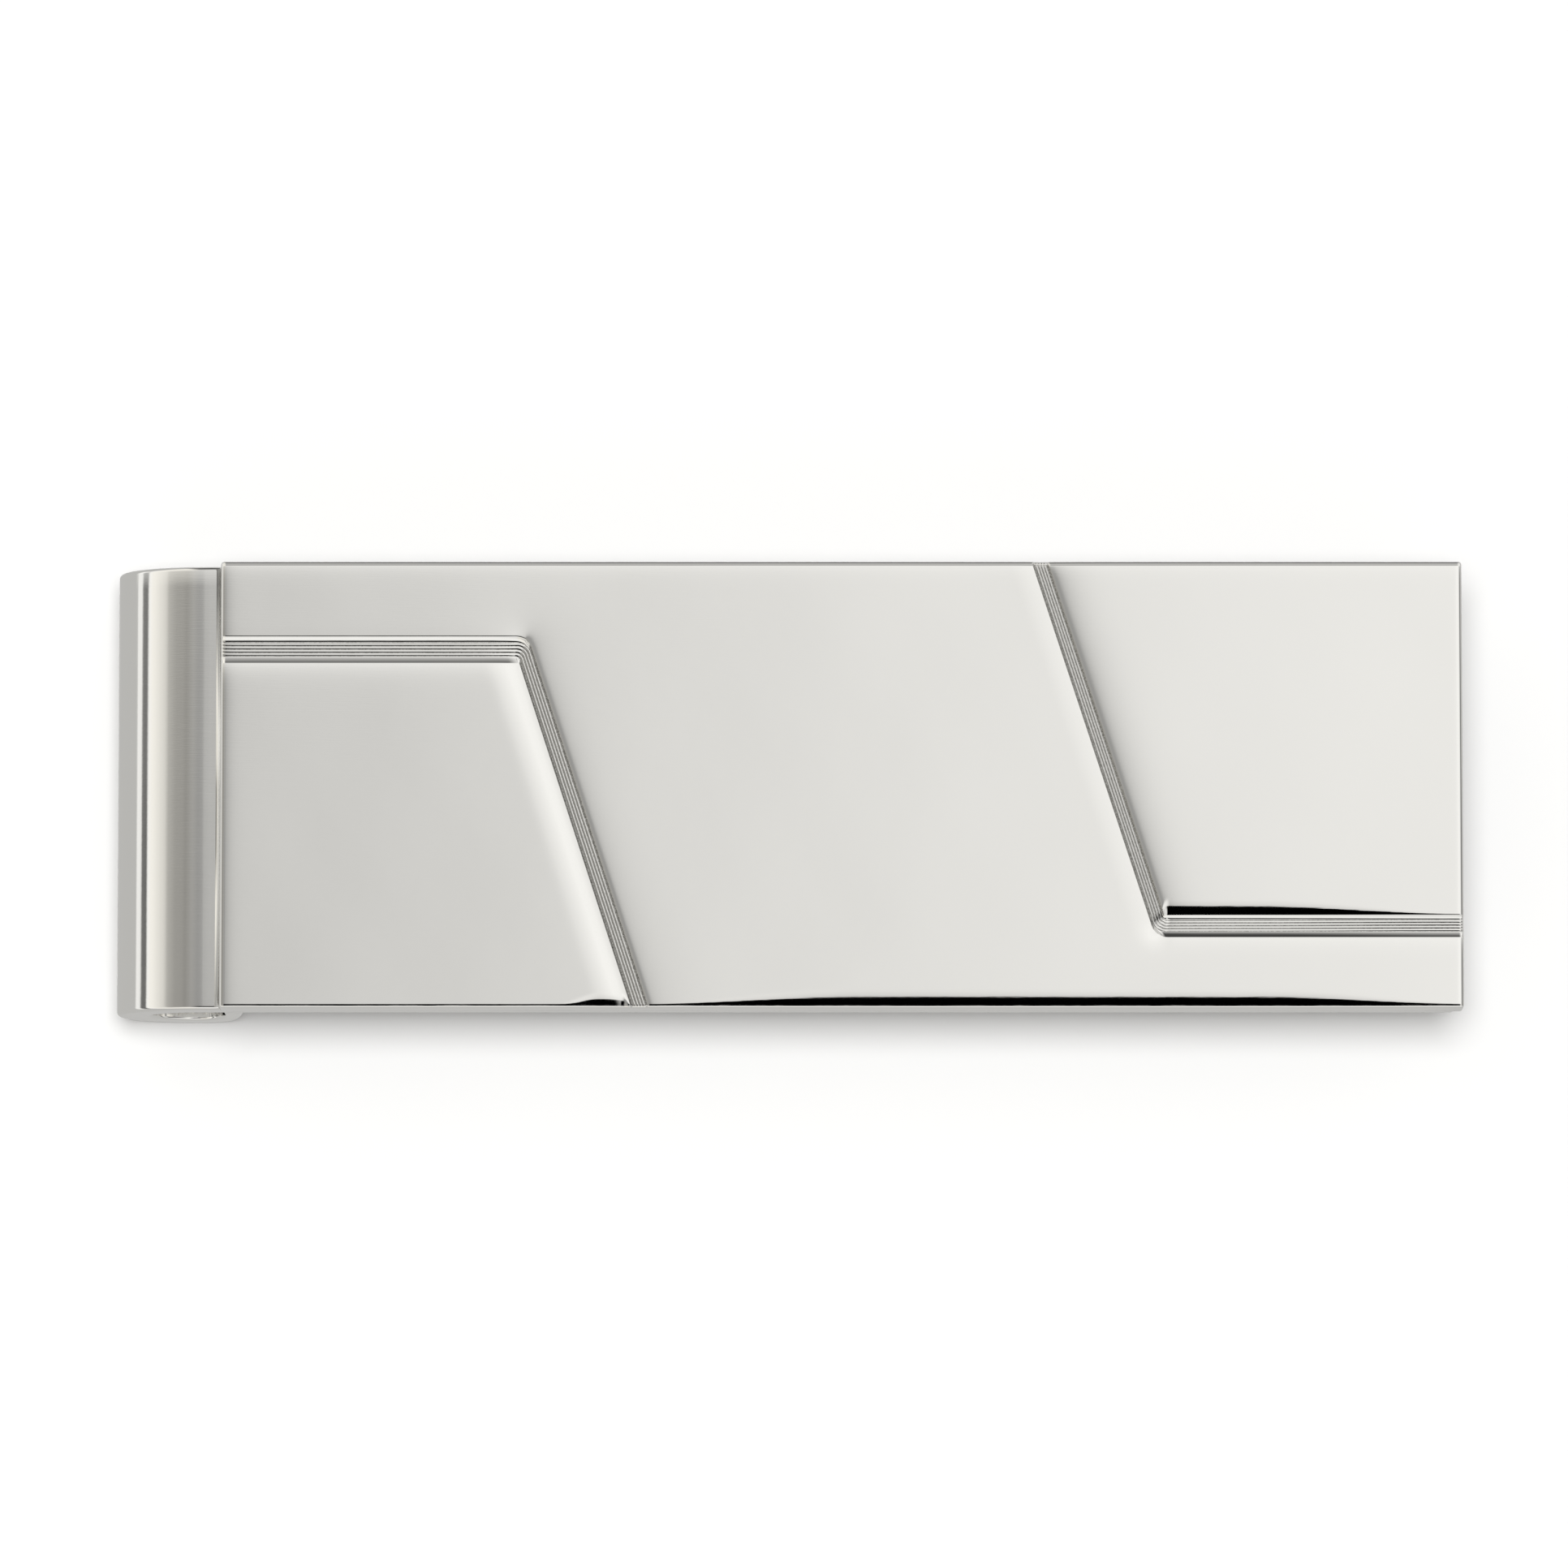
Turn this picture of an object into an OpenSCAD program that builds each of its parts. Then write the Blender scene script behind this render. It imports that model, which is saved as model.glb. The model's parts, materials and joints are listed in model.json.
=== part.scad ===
// Money clip: a struck plate with two reeded bands, brazed on a folded spring strip.
// Millimetres. +X runs along the clip away from the fold, +Y across it, +Z out of the plate's face.
// The origin is at the middle of the bounding box's underside, where the clip rests.

/* [Front plate] */
// Length of the plate
plate_l = 52.65; // [46:0.05:60]
// Width of the plate
plate_w = 19.05; // [17:0.05:23]
// Thickness of the plate
plate_t = 1.5; // [1.2:0.1:2.2]
// Corner radius of the plate, seen from above
plate_corner_r = 0.2; // [0.1:0.05:0.8]

/* [Reeded bands] */
// Width of a band
band_w = 0.92; // [0.8:0.01:1.4]
// Depth of a band's floor below the face
band_depth = 0.2; // [0.12:0.02:0.4]
// Distance of each band's straight run from the plate's long edge: left band, right band
band_edge_gaps = [3.75, 3.52]; // [2.5:0.01:6]
// Length of a band's straight run, from the plate's short edge to the corner
band_run = 12.85; // [8:0.05:18]
// Lean of a band's slanted run, away from straight across the plate
band_lean = 17.7; // [5:0.1:30]
// Number of reeds in a band
reeds = 4; // [2:1:4]
// Width of one reed
reed_w = 0.08; // [0.06:0.01:0.09]
// Height of the reeds above a band's floor
reed_h = 0.07; // [0.04:0.01:0.11]
// Distance from one reed to the next
reed_pitch = 0.14; // [0.12:0.01:0.18]

/* [Spring strip] */
// Width of the strip
strip_w = 18.95; // [16:0.05:22]
// Thickness of the leg under the plate
front_leg_t = 1.0; // [0.8:0.05:1.2]
// Distance that the plate overhangs the front leg's end
front_leg_gap = 0.3; // [0.1:0.1:2]
// Length of the fold outside the plate's end
fold_reach = 4.5; // [4:0.1:6]
// Height of the fold
fold_h = 5.6; // [5.4:0.1:6.4]
// Thickness of the strip round the fold's nose
nose_t = 1.45; // [1.2:0.05:1.6]
// Thickness of the strip at the bottom of the fold
belly_t = 1.35; // [1:0.05:1.5]
// Rise of the fold above the front leg
crest_rise = 0.25; // [0.1:0.05:0.4]

/* [Back leg] */
// Thickness of the back leg
back_leg_t = 0.9; // [0.7:0.05:1]
// Gap between the closed legs
leg_gap = 0.1; // [0.08:0.02:0.3]
// Distance of the back leg's tip from the plate's end
tip_setback = 3.2; // [1:0.1:10]
// Width of the back leg where it leaves the fold
back_leg_w = 17.2; // [15:0.1:18]
// Width of the back leg at its tip
tip_w = 15.6; // [12:0.1:17]
// Corner radius of the tip
tip_corner_r = 3; // [1:0.5:5]
// Bending radius of the lip
lip_r = 40; // [34:1:50]

/* [Flexing bend] */
// Gap round the bend's pivot
pivot_gap = 0.04; // [0.03:0.01:0.08]

/* [Braze] */
// Thickness of the braze film
braze_t = 0.05; // [0.03:0.01:0.1]
// Size of the braze fillet at the plate's end
fillet_r = 0.35; // [0.2:0.05:0.5]
// Setback of the braze from the strip's sides
braze_inset = 0.05; // [0.02:0.01:0.2]

/* [Hidden] */
$fn = 64;

// Cutting tools and extrusions that cut run past the faces by this much.
over = 1;
// Straight pieces in one quarter of an oval.
arc_steps = 12;

// Stations along X.
overall_l = plate_l + fold_reach;
plate_left = -overall_l / 2 + fold_reach;
plate_right = overall_l / 2;
plate_mid = (plate_left + plate_right) / 2;
nose_x = plate_left - fold_reach;
crest_x = plate_left - 0.72;
belly_x = plate_left - 1.1;
front_leg_right = plate_right - front_leg_gap;
tip_x = plate_right - tip_setback;

// Levels along Z.
front_leg_top = fold_h - crest_rise;
front_leg_bottom = front_leg_top - front_leg_t;
plate_bottom = front_leg_top + braze_t;
back_leg_top = front_leg_bottom - leg_gap;
back_leg_bottom = back_leg_top - back_leg_t;
pivot_z = fold_h / 2;
pivot_x = nose_x + nose_t / 2;

// Inside of the fold: its left tip, and the upright wall where it turns into the back leg.
hollow_left = nose_x + nose_t;
wall_outer_x = plate_left + 0.85;
wall_inner_x = plate_left + 0.1;
turn_inner_r = 0.7;
turn_outer_r = 0.7;
hollow_floor_z = min(pivot_z - 0.1, back_leg_bottom - turn_outer_r);

// The lip bends down until its tip is level with the fold's belly.
lip_centre_z = back_leg_top - lip_r;
lip_angle = acos(-lip_centre_z / (lip_r - back_leg_t));
lip_x = tip_x - lip_r * sin(lip_angle);

// Half of the crest's run down to the plate: an oval that meets the front leg's level at the plate.
crest_run = (plate_left - crest_x) / sqrt(1 - pow((front_leg_top - pivot_z) / pivot_z, 2));
crest_end_angle = acos((plate_left - crest_x) / crest_run);

// A band's slanted run is long enough to cross the whole plate.
slant_length = (plate_w + over) / cos(band_lean);

// The back leg's sides draw in over this stretch.
shoulder_start_x = plate_left + 0.35;
shoulder_end_x = plate_left + 2.6;
shoulder_steps = 8;

// Points along an oval arc, in the XZ plane.
function oval(cx, cz, rx, rz, from, to, steps = arc_steps) =
    [for (i = [0:steps]) let (a = from + (to - from) * i / steps) [cx + rx * cos(a), cz + rz * sin(a)]];

// A band's path runs along X from the plate's left end to a corner, then slants across the near edge.
function band_corner(gap) = [band_run - plate_l / 2, plate_w / 2 - gap];

// Where a line at a distance to the left of that path turns the corner.
function band_turn(gap, side) = band_corner(gap) + side * [(1 - sin(band_lean)) / cos(band_lean), 1];

// Where the line ends, past the plate's near edge.
function band_exit(gap, side) = band_turn(gap, side) + slant_length * [sin(band_lean), -cos(band_lean)];

// Half width of the back leg along X: full, then a smooth shoulder, then a straight taper.
function shoulder(i) = (1 - cos(180 * i / shoulder_steps)) / 2;
function shoulder_point(i) = [
    shoulder_start_x + (shoulder_end_x - shoulder_start_x) * i / shoulder_steps,
    (strip_w - (strip_w - back_leg_w) * shoulder(i)) / 2
];

// Extrudes an XZ outline across the clip, centred on the XZ plane.
module across(width) {
    rotate([90, 0, 0])
        linear_extrude(height = width, center = true)
            children();
}

// ---------- front plate ----------

module plate_outline() {
    inner = [plate_l - 2 * plate_corner_r, plate_w - 2 * plate_corner_r];
    square([plate_l, inner[1]], center = true);
    square([inner[0], plate_w], center = true);
    for (sx = [-1, 1], sy = [-1, 1])
        translate([sx * inner[0] / 2, sy * inner[1] / 2])
            circle(r = plate_corner_r);
}

// Plan of a strip that follows a band's path, centred at a distance to the path's left.
module path_strip(gap, side, width) {
    left = -plate_l / 2 - over;
    path_y = band_corner(gap)[1];
    outer = side + width / 2;
    inner = side - width / 2;
    polygon([
        [left, path_y + outer],
        band_turn(gap, outer),
        band_exit(gap, outer),
        band_exit(gap, inner),
        band_turn(gap, inner),
        [left, path_y + inner]
    ]);
}

module band_reeds(gap) {
    for (i = [0:reeds - 1])
        path_strip(gap, (i - (reeds - 1) / 2) * reed_pitch, reed_w);
}

// The metal cut away for one band, measured up from the plate's underside.
module band_cut(gap) {
    floor_z = plate_t - band_depth;
    translate([0, 0, floor_z])
        linear_extrude(height = reed_h + over)
            difference() {
                path_strip(gap, 0, band_w);
                band_reeds(gap);
            }
    translate([0, 0, floor_z + reed_h])
        linear_extrude(height = band_depth + over)
            path_strip(gap, 0, band_w);
}

module front_plate() {
    color("gainsboro")
        translate([plate_mid, 0, plate_bottom])
            difference() {
                linear_extrude(height = plate_t) plate_outline();
                for (i = [0, 1])
                    rotate([0, 0, 180 * i]) band_cut(band_edge_gaps[i]);
            }
}

// ---------- spring strip ----------

// Leg under the plate and the upper half of the fold, down to the pivot's level.
module front_leg_profile() {
    polygon(concat(
        [[front_leg_right, front_leg_top]],
        oval(crest_x, pivot_z, crest_run, fold_h - pivot_z, crest_end_angle, 90, 4),
        oval(crest_x, pivot_z, crest_x - nose_x, fold_h - pivot_z, 90, 180),
        oval(belly_x, pivot_z, belly_x - hollow_left, front_leg_bottom - pivot_z, 180, 90),
        [[front_leg_right, front_leg_bottom]]
    ));
}

// Lower half of the fold, the leg and its lip, up to the pivot's level.
module back_leg_profile() {
    polygon(concat(
        oval(belly_x, pivot_z, belly_x - nose_x, pivot_z, 180, 270),
        oval(belly_x, hollow_floor_z, wall_outer_x - belly_x, hollow_floor_z, 270, 360),
        oval(wall_outer_x + turn_outer_r, back_leg_bottom - turn_outer_r, turn_outer_r, turn_outer_r, 180, 90, 6),
        oval(lip_x, lip_centre_z, lip_r - back_leg_t, lip_r - back_leg_t, 90, 90 - lip_angle),
        oval(lip_x, lip_centre_z, lip_r, lip_r, 90 - lip_angle, 90),
        oval(wall_inner_x + turn_inner_r, back_leg_top - turn_inner_r, turn_inner_r, turn_inner_r, 90, 180, 6),
        oval(belly_x, hollow_floor_z, wall_inner_x - belly_x, hollow_floor_z - belly_t, 0, -90),
        oval(belly_x, pivot_z, belly_x - hollow_left, pivot_z - belly_t, 270, 180)
    ));
}

module pivot_rod(r, width) {
    translate([pivot_x, 0, pivot_z])
        rotate([90, 0, 0])
            cylinder(r = r, h = width, center = true);
}

// Plan of the back leg: full width round the fold, drawn in behind the plate, round corners at the tip.
module back_leg_plan() {
    tip_half = tip_w / 2 - tip_corner_r;
    side = [for (i = [0:shoulder_steps]) shoulder_point(i)];
    tip = [for (i = [0:arc_steps])
        let (a = 90 - 90 * i / arc_steps)
        [tip_x - tip_corner_r + tip_corner_r * cos(a), tip_half + tip_corner_r * sin(a)]];
    upper = concat([[nose_x - over, strip_w / 2]], side, tip);
    lower = [for (i = [len(upper) - 1:-1:0]) [upper[i][0], -upper[i][1]]];
    polygon(concat(upper, lower));
}

module spring_front_leg() {
    color("silver")
        difference() {
            across(strip_w) front_leg_profile();
            pivot_rod(nose_t / 2 + pivot_gap, strip_w + over);
        }
}

module spring_back_leg() {
    color("silver") {
        intersection() {
            across(strip_w) back_leg_profile();
            translate([0, 0, -over])
                linear_extrude(height = fold_h + 2 * over) back_leg_plan();
        }
        pivot_rod(nose_t / 2, strip_w);
    }
}

// ---------- braze ----------

// Film between the plate and the front leg, with a hollow fillet in the corner at the plate's end.
module braze_profile() {
    difference() {
        union() {
            translate([plate_left, front_leg_top])
                square([front_leg_right - plate_left, braze_t]);
            difference() {
                translate([plate_left - fillet_r, front_leg_top])
                    square([fillet_r, crest_rise / 2 + fillet_r]);
                translate([plate_left - fillet_r, front_leg_top + crest_rise / 2 + fillet_r])
                    circle(r = fillet_r);
            }
        }
        front_leg_profile();
    }
}

module braze_seam() {
    color("lightgray")
        across(strip_w - 2 * braze_inset) braze_profile();
}

front_plate();
braze_seam();
spring_front_leg();
spring_back_leg();
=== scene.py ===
import json
import math

import bpy
import numpy as np
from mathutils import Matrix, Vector


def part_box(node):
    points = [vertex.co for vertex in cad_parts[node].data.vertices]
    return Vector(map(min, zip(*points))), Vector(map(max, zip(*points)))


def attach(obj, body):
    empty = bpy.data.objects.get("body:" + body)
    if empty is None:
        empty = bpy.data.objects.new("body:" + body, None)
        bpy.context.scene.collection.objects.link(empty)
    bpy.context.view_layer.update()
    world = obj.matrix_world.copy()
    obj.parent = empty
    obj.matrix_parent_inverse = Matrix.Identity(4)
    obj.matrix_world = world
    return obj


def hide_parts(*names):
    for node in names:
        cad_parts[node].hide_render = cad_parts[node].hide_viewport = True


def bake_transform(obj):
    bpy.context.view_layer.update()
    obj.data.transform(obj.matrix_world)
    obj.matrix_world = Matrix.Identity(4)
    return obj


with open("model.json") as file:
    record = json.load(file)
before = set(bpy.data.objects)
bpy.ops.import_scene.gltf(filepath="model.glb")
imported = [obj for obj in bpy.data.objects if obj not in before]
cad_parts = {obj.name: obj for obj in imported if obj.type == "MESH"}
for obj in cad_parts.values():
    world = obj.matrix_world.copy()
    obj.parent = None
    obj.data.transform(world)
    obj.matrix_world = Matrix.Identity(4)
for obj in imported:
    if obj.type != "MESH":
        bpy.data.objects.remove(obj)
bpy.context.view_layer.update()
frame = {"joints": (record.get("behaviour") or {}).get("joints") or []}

MM = 0.001
FRONT = "clip_front"
BACK = "back_leg"

# ---------------------------------------------------------------- sizes from the frame

plate_low, plate_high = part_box("front_plate")
front_low, front_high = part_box("spring_front_leg")
back_low, back_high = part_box("spring_back_leg")
pivot = Vector(frame["joints"][0]["pos_m"])

PLATE_MID = (plate_low.x + plate_high.x) / 2
PLATE_HALF_L = (plate_high.x - plate_low.x) / 2
PLATE_HALF_W = (plate_high.y - plate_low.y) / 2
PLATE_LEFT = plate_low.x
PLATE_TOP = plate_high.z
PLATE_BOTTOM = plate_low.z
STRIP_HALF_W = front_high.y

# ---------------------------------------------------------------- sizes of the details

# Plate edges. The face lies a little below the plate's top, so that its unevenness stays inside the box.
FACE_SINK = 0.012 * MM
EDGE_R = 0.13 * MM
EDGE_STEPS = 9
CORNER_STEPS = 5
BOTTOM_R = 0.06 * MM
BOTTOM_STEPS = 3

# Reeded bands, left then right: gap from the plate's long edge to the path, then the width along the run
# and the width down the slant.
BAND_GAPS = (3.79 * MM, 3.48 * MM)
RUN_W = (1.12 * MM, 0.95 * MM)
SLANT_W = (0.7 * MM, 0.64 * MM)
BAND_RUN = 12.85 * MM
BAND_LEAN = math.radians(18)
# A band's steep and easy sides: share of its width, and how quickly each eases off towards the reeds.
STEEP_SIDE = (0.21, 1.7)
EASY_SIDE = (0.28, 1.5)
# Inner and outer side of the left band and of the right band. The steep side is on the run's far side.
BAND_SIDES = ((EASY_SIDE, STEEP_SIDE), (STEEP_SIDE, EASY_SIDE))
# Down the slant both sides are narrower.
SLANT_SIDE = 0.14
SIDE_DEPTH = 0.11 * MM
SIDE_STEPS = 10
REEDS = 4
REED_RISE = 0.012 * MM
REED_STEPS = 10
# How closely the painted shade keeps to the bottom of the hollows between the reeds.
GROOVE_SHADE_SHARPNESS = 1.6
# Down the slant, from a few stations past the middle of the turn, the sides and the reeds are painted
# darker, as painted shade.
SLANT_SIDE_SHADE = 0.85
SLANT_SHADE = 0.36
SHADE_STATIONS = 4
INNER_TURN_R = 0.06 * MM
OUTER_TURN_R = 0.72 * MM

# Where polishing has bent the face over: start and end along the clip, easing in, easing out, full reach.
# Two stretches along the near edge, in the plate's own plan, and one above the right-hand run.
LITTLE_REACH = 0.06 * MM
NEAR_LEFT_WEAR = (-11.8 * MM, -8.9 * MM, 1.6 * MM, 0.4 * MM, 0.5 * MM)
NEAR_RIGHT_WEAR = (-8.3 * MM, 26.6 * MM, 9 * MM, 9 * MM, 0.68 * MM)
RUN_WEAR = (13.35 * MM, 26.3 * MM, 0.5 * MM, 9 * MM, 0.66 * MM)

# Slow waves of the face: height in mm, radians per mm along and across the clip, and where each starts.
WAVES = (
    (0.0026, 0.37, 0.16, 0.3),
    (0.0012, -0.25, 0.71, 1.9),
    (0.0007, 0.83, -0.34, 4.1),
    (0.0003, 1.21, 0.8, 2.6),
)

# How many stations run along a band and across the panels.
RUN_STEPS = 72
SLANT_STEPS = 96
TURN_STEPS = 12
UP_STEPS = 36
MID_STEPS = 96
# How strongly the stations crowd towards both ends.
BAND_CROWD = 2.2
UP_CROWD = 2.0
MID_CROWD = 2.4

# Strip, as in the CAD.
NOSE_T = 1.45 * MM
BELLY_T = 1.35 * MM
FRONT_LEG_T = 1.0 * MM
BACK_LEG_T = 0.9 * MM
LEG_GAP = 0.1 * MM
CREST_RISE = 0.25 * MM
CREST_BACK = 0.72 * MM
BELLY_BACK = 1.1 * MM
WALL_OUTER = 0.85 * MM
WALL_INNER = 0.1 * MM
TURN_R = 0.7 * MM
LIP_R = 40 * MM
BACK_LEG_HALF_W = 8.6 * MM
TIP_HALF_W = 7.8 * MM
TIP_CORNER_R = 3 * MM
# The shoulder's start and end, and the back leg's share of the fold, from the plate's left end.
SHOULDER = (0.35 * MM, 2.6 * MM)
BACK_SHARE_LEFT = -0.5 * MM
# Where the fold's mesh ends at each leg, from the plate's left end.
FRONT_JOIN = 0.3 * MM
BACK_JOIN = 1.9 * MM

# Strip, finer than in the CAD.
CREST_TILT = 0.0075 * MM
FRONT_END_R = 0.2 * MM
BACK_END_R = 0.22 * MM
END_STEPS = 6
STRIP_EDGE_R = 0.18 * MM
STRIP_INNER_R = 0.12 * MM
STRIP_FACE_STEPS = 28
STRIP_EDGE_STEPS = 6

# Braze: the fillet's radius, how high its foot lies on the fold, and how far it sinks into what it joins.
BRAZE_R = 0.26 * MM
BRAZE_LIFT = 0.004 * MM
BRAZE_SINK = 0.05 * MM
BRAZE_OVERLAP = 0.02 * MM
BRAZE_HEEL = 0.09 * MM
BRAZE_INSET = 0.1 * MM
BRAZE_STEPS = 22


# ---------------------------------------------------------------- mesh helpers

def new_mesh(name, points, faces):
    """A smooth-shaded object from points in metres."""
    mesh = bpy.data.meshes.new(name)
    mesh.from_pydata([tuple(p) for p in points], [], faces)
    mesh.validate()
    mesh.shade_smooth()
    obj = bpy.data.objects.new(name, mesh)
    bpy.context.scene.collection.objects.link(obj)
    return obj


class Sheet:
    """Collects grids of points that share their common borders."""

    def __init__(self):
        self.points = []
        # How much painted shade each point gets.
        self.groove_shades = []
        self.faces = []
        self.index = {}

    def vertex(self, x, y, z, groove_shade):
        """The vertex at this place, made at the first call for it."""
        key = (round(x * 1e8), round(y * 1e8))
        if key not in self.index:
            self.index[key] = len(self.points)
            self.points.append((x, y, z))
            self.groove_shades.append(groove_shade)
        return self.index[key]

    def grid(self, plan, height, groove_shade=None):
        """Adds a grid. plan is rows x columns x 2, to the right along a row and away from row to row."""
        rows, columns = plan.shape[:2]
        if groove_shade is None:
            groove_shade = np.zeros((rows, columns))
        ids = [
            [self.vertex(*plan[i, j], height[i, j], groove_shade[i, j]) for j in range(columns)]
            for i in range(rows)
        ]
        for i in range(rows - 1):
            for j in range(columns - 1):
                quad = [ids[i][j], ids[i][j + 1], ids[i + 1][j + 1], ids[i + 1][j]]
                ring = [v for k, v in enumerate(quad) if v != quad[k - 1]]
                if len(ring) > 2:
                    self.faces.append(ring)

    def border(self):
        """The sheet's one open edge, as a ring of vertices, anticlockwise from above."""
        edges = {}
        for face in self.faces:
            for a, b in zip(face, face[1:] + face[:1]):
                edges[(a, b)] = True
        follow = {a: b for a, b in edges if (b, a) not in edges}
        start = next(iter(follow))
        ring = [start]
        while follow[ring[-1]] != start:
            ring.append(follow[ring[-1]])
        return ring


def graded(steps, crowd):
    """Stations from 0 to 1 that crowd towards both ends."""
    t = np.linspace(-1, 1, steps + 1)
    return (np.tanh(crowd * t) / math.tanh(crowd) + 1) / 2


def between(a, b, stations):
    """Points from a to b at the stations."""
    a, b = np.array(a, float), np.array(b, float)
    return a + np.outer(stations, b - a)


def patch(near, far, left, right):
    """Fills four border lines with a grid: near and far run to the right, left and right run away."""
    u = np.linspace(0, 1, len(near))
    v = np.linspace(0, 1, len(left))
    near_u, far_u = arc_shares(near), arc_shares(far)
    left_v, right_v = arc_shares(left), arc_shares(right)
    rows = []
    for i in range(len(left)):
        cols = []
        for j in range(len(near)):
            # The shares along the borders keep the grid as crowded inside as it is at the borders.
            s = near_u[j] * (1 - v[i]) + far_u[j] * v[i]
            t = left_v[i] * (1 - u[j]) + right_v[i] * u[j]
            cols.append(
                near[j] * (1 - t) + far[j] * t + left[i] * (1 - s) + right[i] * s
                - near[0] * (1 - s) * (1 - t) - near[-1] * s * (1 - t)
                - far[0] * (1 - s) * t - far[-1] * s * t
            )
        rows.append(cols)
    return np.array(rows)


def arc_shares(line):
    """How far along the line each point is, from 0 to 1."""
    steps = np.linalg.norm(np.diff(line, axis=0), axis=1)
    total = np.concatenate([[0], np.cumsum(steps)])
    return total / total[-1]


# ---------------------------------------------------------------- front plate

def band_corner(gap):
    """Where a band's path turns, from the plate's centre, for the band at the left."""
    return np.array([BAND_RUN - PLATE_HALF_L, PLATE_HALF_W - gap])


def band_line(which, share):
    """A line along a band: run, turn, slant. Share 0 is the band's inner side, 1 its outer side."""
    lean_sin, lean_cos = math.sin(BAND_LEAN), math.cos(BAND_LEAN)
    above = (share - 0.5) * RUN_W[which]
    beside = (slant_share(share, which) - 0.5) * SLANT_W[which]
    corner = band_corner(BAND_GAPS[which]) + np.array([(beside - above * lean_sin) / lean_cos, above])
    turn = math.pi / 2 - BAND_LEAN
    radius = INNER_TURN_R + (OUTER_TURN_R - INNER_TURN_R) * share
    tangent = radius * math.tan(turn / 2)
    down = np.array([lean_sin, -lean_cos])
    start = np.array([-(PLATE_HALF_L - EDGE_R), corner[1]])
    turn_in = corner - np.array([tangent, 0])
    turn_out = corner + tangent * down
    end = corner + down * (corner[1] + PLATE_HALF_W - EDGE_R) / lean_cos
    centre = turn_in - np.array([0, radius])
    angles = math.pi / 2 - turn * np.linspace(0, 1, TURN_STEPS + 1)
    arc = centre + radius * np.stack([np.cos(angles), np.sin(angles)], axis=1)
    run = between(start, turn_in, graded(RUN_STEPS, BAND_CROWD))
    slant = between(turn_out, end, graded(SLANT_STEPS, BAND_CROWD))
    return np.concatenate([run, arc[1:-1], slant])


def slant_share(share, which):
    """Where a line at this share of the run's width lies across the slant."""
    inner_side, outer_side = BAND_SIDES[which]
    on_run = [0, inner_side[0], 1 - outer_side[0], 1]
    on_slant = [0, SLANT_SIDE, 1 - SLANT_SIDE, 1]
    return float(np.interp(share, on_run, on_slant))


def band_section(inner_side, outer_side):
    """Shares across a band from its inner side, the metal's depth at each, and how much painted shade it
    gets there.
    """
    share, depth, groove_shade = [], [], []
    inner_share, inner_power = inner_side
    outer_share, outer_power = outer_side
    pitch = (1 - inner_share - outer_share) / REEDS
    for i in range(SIDE_STEPS):
        t = i / SIDE_STEPS
        share.append(inner_share * t)
        depth.append(side_depth(t, inner_power))
        groove_shade.append(0.0)
    # Painted shade: the bottom of each hollow between the reeds is painted darker.
    for reed in range(REEDS):
        for i in range(REED_STEPS):
            t = i / REED_STEPS
            low = 1 - math.sin(math.pi * t)
            share.append(inner_share + pitch * (reed + t))
            depth.append(SIDE_DEPTH - REED_RISE * (1 - low))
            groove_shade.append(low ** GROOVE_SHADE_SHARPNESS)
    for i in range(SIDE_STEPS + 1):
        t = 1 - i / SIDE_STEPS
        share.append(1 - outer_share * t)
        depth.append(side_depth(t, outer_power))
        groove_shade.append(1.0 if i == 0 else 0.0)
    return np.array(share), np.array(depth), np.array(groove_shade)


def side_depth(t, power):
    """A band's side, from the panel (0) to the reeds (1): steep at the panel, easing off below."""
    return SIDE_DEPTH * (1 - (1 - t) ** power)


def distance_to(points, line):
    """Shortest distance from each point to a line of points."""
    best = np.full(len(points), 1e9)
    for a, b in zip(line[:-1], line[1:]):
        d = b - a
        length = d @ d
        if length < 1e-20:
            continue
        t = np.clip((points - a) @ d / length, 0, 1)
        best = np.minimum(best, np.linalg.norm(points - a - np.outer(t, d), axis=1))
    return best


def soft_roll(distance, slope, reach):
    """Drop of a face that bends down slowly towards its border, to this slope at the border."""
    return slope * reach * np.exp(-distance / reach)


def round_roll(distance, slope, reach):
    """Drop of a face that starts to bend at this reach from its border and is this steep at it."""
    inside = np.clip(1 - distance / np.maximum(reach, 1e-9), 0, 1)
    return slope * reach / 2 * inside ** 2


def swell_roll(distance, slope, reach):
    """Drop like round_roll's that sets in more gently."""
    inside = np.clip(1 - distance / reach, 0, 1)
    return slope * reach / 3 * inside ** 3


def ease(t):
    """0 to 1, smooth at both ends."""
    t = np.clip(t, 0, 1)
    return t * t * (3 - 2 * t)


def wear(x, start, end, rise, fall, reach):
    """This reach between start and end, easing from 0 over rise and back to 0 over fall."""
    return reach * (ease((x - start) / rise) * ease((end - x) / fall))


def edge_drop(points):
    """The plate's roll-off towards its four edges."""
    x, y = points[:, 0], points[:, 1]
    half_l, half_w = PLATE_HALF_L - EDGE_R, PLATE_HALF_W - EDGE_R
    near, far = y + half_w, half_w - y
    left, right = x + half_l, half_l - x
    # The near edge is polished over most on the middle and right-hand panels.
    wide = LITTLE_REACH + wear(x, *NEAR_LEFT_WEAR)
    wide = wide + wear(x, *NEAR_RIGHT_WEAR)
    return (
        round_roll(near, 0.3, wide)
        + soft_roll(near, 0.02, 0.5 * MM)
        + soft_roll(far, 0.08, 0.28 * MM)
        + round_roll(far, 0.5, 0.07 * MM)
        + soft_roll(left, 0.03, 0.25 * MM)
        + round_roll(left, 0.2, 0.08 * MM)
        + soft_roll(right, 0.12, 0.06 * MM)
    )


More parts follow.
